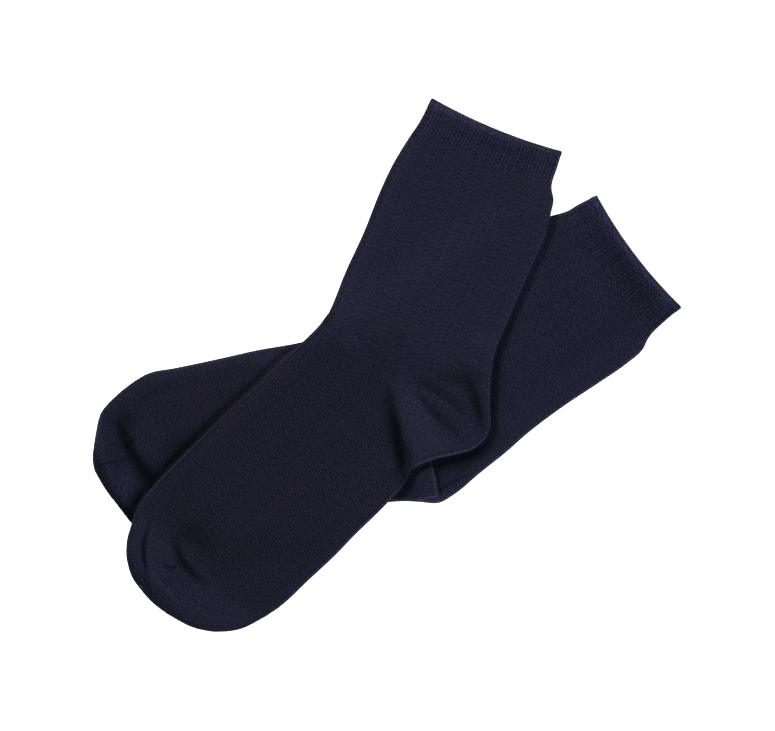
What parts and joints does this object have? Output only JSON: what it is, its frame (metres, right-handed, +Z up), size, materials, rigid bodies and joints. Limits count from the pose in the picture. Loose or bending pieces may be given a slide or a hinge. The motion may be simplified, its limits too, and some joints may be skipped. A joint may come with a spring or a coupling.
{
  "type": "pair of socks",
  "caption": "Plain crew socks lying flat and crossed, each a soft knitted tube with a ribbed cuff, a turned heel and a rounded closed toe.",
  "frame": {"origin": "on the ground, under the middle of the box that holds the pair", "axes": "+Z up from the ground; +X along the longest side of the pair, from the toes towards the lower sock's cuff; +Y towards the upper sock's cuff"},
  "size_m": [0.3298, 0.2994, 0.0122],
  "materials": {
    "jersey": "matte navy cotton jersey",
    "rib": "matte navy cotton rib knit"
  },
  "bodies": {
    "root": {"lower_sock_cuff": "rib", "lower_sock_leg_and_foot": "jersey", "upper_sock_cuff": "rib", "upper_sock_leg_and_foot": "jersey"}
  },
  "joints": []
}
